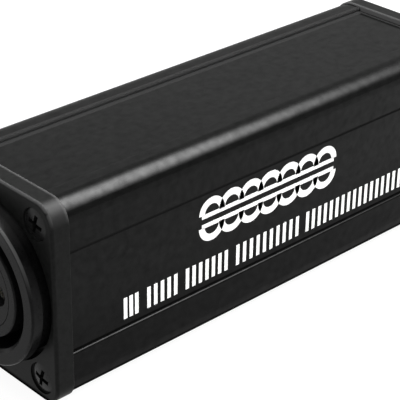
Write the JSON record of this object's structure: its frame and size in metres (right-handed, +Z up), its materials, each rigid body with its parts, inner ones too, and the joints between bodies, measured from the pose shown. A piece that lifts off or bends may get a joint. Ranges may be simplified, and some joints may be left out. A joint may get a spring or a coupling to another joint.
{
  "type": "inline audio ground loop isolator",
  "caption": "Slim black box with a screened audio transformer inside, a round three-pin socket in one end plate and a matching plug in the other.",
  "frame": {"origin": "under the middle of the case, on the plane it lies on", "axes": "+X along the case from the socket end to the plug end, +Z up"},
  "size_m": [0.0908, 0.026, 0.031],
  "materials": {
    "case_anodised": "satin black anodised",
    "plate_black": "satin black",
    "screw_black": "black oxide",
    "shell_plastic": "satin",
    "insert_plastic": "satin",
    "contact_silver": "silver plated",
    "leg_tinned": "tinned",
    "board_green": "solder mask over glass fibre",
    "header_plastic": "matte",
    "core_alloy": "annealed nickel-iron",
    "bobbin_nylon": "matte",
    "winding_copper": "enamelled copper",
    "screen_copper": "copper foil",
    "tape_yellow": "polyester tape",
    "can_steel": "dull tinned",
    "foam_grey": "foam",
    "lead_black": "sleeve over stranded wire",
    "lead_red": "sleeve over stranded wire",
    "lead_white": "sleeve over stranded wire"
  },
  "bodies": {
    "root": {"housing_tube": "case_anodised", "end_plate_in": "plate_black", "plate_screws_in": "screw_black", "end_plate_out": "plate_black", "plate_screws_out": "screw_black", "socket_shell": "shell_plastic", "socket_sleeve": "insert_plastic", "socket_core": "insert_plastic", "socket_contact_1": "contact_silver", "socket_contact_2": "contact_silver", "socket_contact_3": "contact_silver", "plug_shell": "shell_plastic", "plug_base": "insert_plastic", "plug_pin_1": "contact_silver", "plug_pin_2": "contact_silver", "plug_pin_3": "contact_silver", "lead_in_1": "lead_black", "lead_in_2": "lead_red", "lead_in_3": "lead_white", "lead_out_1": "lead_black", "lead_out_2": "lead_red", "lead_out_3": "lead_white", "circuit_board": "board_green", "transformer_header": "header_plastic", "transformer_legs": "leg_tinned", "core_e_stack": "core_alloy", "core_i_stack": "core_alloy", "bobbin": "bobbin_nylon", "primary_winding": "winding_copper", "winding_screen": "screen_copper", "secondary_winding": "winding_copper", "coil_tape": "tape_yellow", "shield_can": "can_steel", "foam_pad": "foam_grey"}
  },
  "joints": []
}
